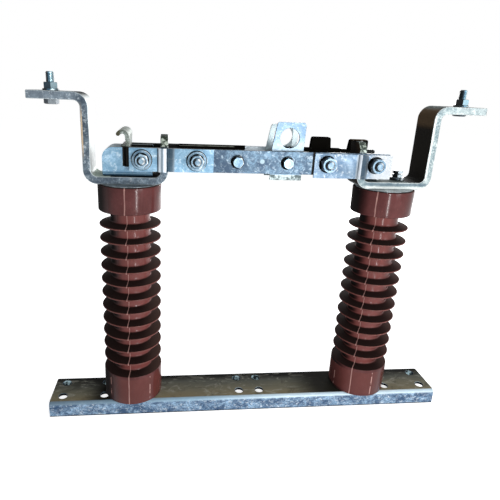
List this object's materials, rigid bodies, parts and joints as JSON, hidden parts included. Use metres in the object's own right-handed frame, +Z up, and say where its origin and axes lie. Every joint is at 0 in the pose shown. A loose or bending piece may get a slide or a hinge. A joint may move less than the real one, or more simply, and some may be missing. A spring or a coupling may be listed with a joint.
{
  "type": "single-pole outdoor disconnect switch with hook-stick ring",
  "caption": "Single-pole outdoor disconnect switch: ribbed resin posts on a folded channel, bent terminal bars, a hinged twin-bar blade and a hook-stick ring with latch.",
  "frame": {"origin": "under the middle of the base channel, on the face it rests on", "axes": "+X along the channel from the hinge to the jaw, +Y away from the side with the nuts, +Z up"},
  "size_m": [0.603, 0.088, 0.486],
  "materials": {
    "galvanised_steel": "rolled steel with a dull mottled zinc coat",
    "resin": "glossy cast epoxy resin, red-brown",
    "insert_steel": "turned zinc-plated steel",
    "tinned_copper": "tinned copper, dull grey with faint streaks",
    "zinc_plate": "bright blue-white zinc plating, spangled",
    "dark_steel": "dark brown-black oxide finish",
    "bolt_steel": "bright zinc-plated fasteners"
  },
  "bodies": {
    "frame": {"base_channel": "galvanised_steel", "left_insulator": "resin", "right_insulator": "resin", "left_cap_insert": "insert_steel", "right_cap_insert": "insert_steel", "left_foot_bolt": "bolt_steel", "right_foot_bolt": "bolt_steel", "left_terminal_bar": "tinned_copper", "right_terminal_bar": "tinned_copper", "left_terminal_bolt": "bolt_steel", "right_terminal_bolt": "bolt_steel", "left_cap_screws": "bolt_steel", "right_cap_screws": "bolt_steel", "hinge_bracket": "zinc_plate", "opening_stop": "zinc_plate"},
    "blade": {"blade_bar_front": "tinned_copper", "blade_bar_rear": "tinned_copper", "hinge_spring_plate_front": "zinc_plate", "hinge_spring_plate_rear": "zinc_plate", "jaw_spring_plate_front": "zinc_plate", "jaw_spring_plate_rear": "zinc_plate", "hinge_pin": "bolt_steel", "hinge_tie_bolt": "bolt_steel", "jaw_inner_bolt": "bolt_steel", "jaw_outer_bolt": "bolt_steel", "blade_stiffener": "dark_steel", "clamp_bolt": "bolt_steel", "latch_pivot_bolt": "bolt_steel"},
    "latch": {"pull_ring_bracket": "zinc_plate", "latch_arm": "dark_steel"}
  },
  "joints": [
    {"name": "blade_hinge", "type": "hinge", "parent": "frame", "child": "blade", "pos_m": [-0.162, 0, 0.384], "axis": [0, -1, 0], "range_deg": [0, 90]},
    {"name": "latch_pivot", "type": "hinge", "parent": "blade", "child": "latch", "pos_m": [0.028, 0, 0.384], "axis": [0, -1, 0], "range_deg": [0, 12]}
  ]
}
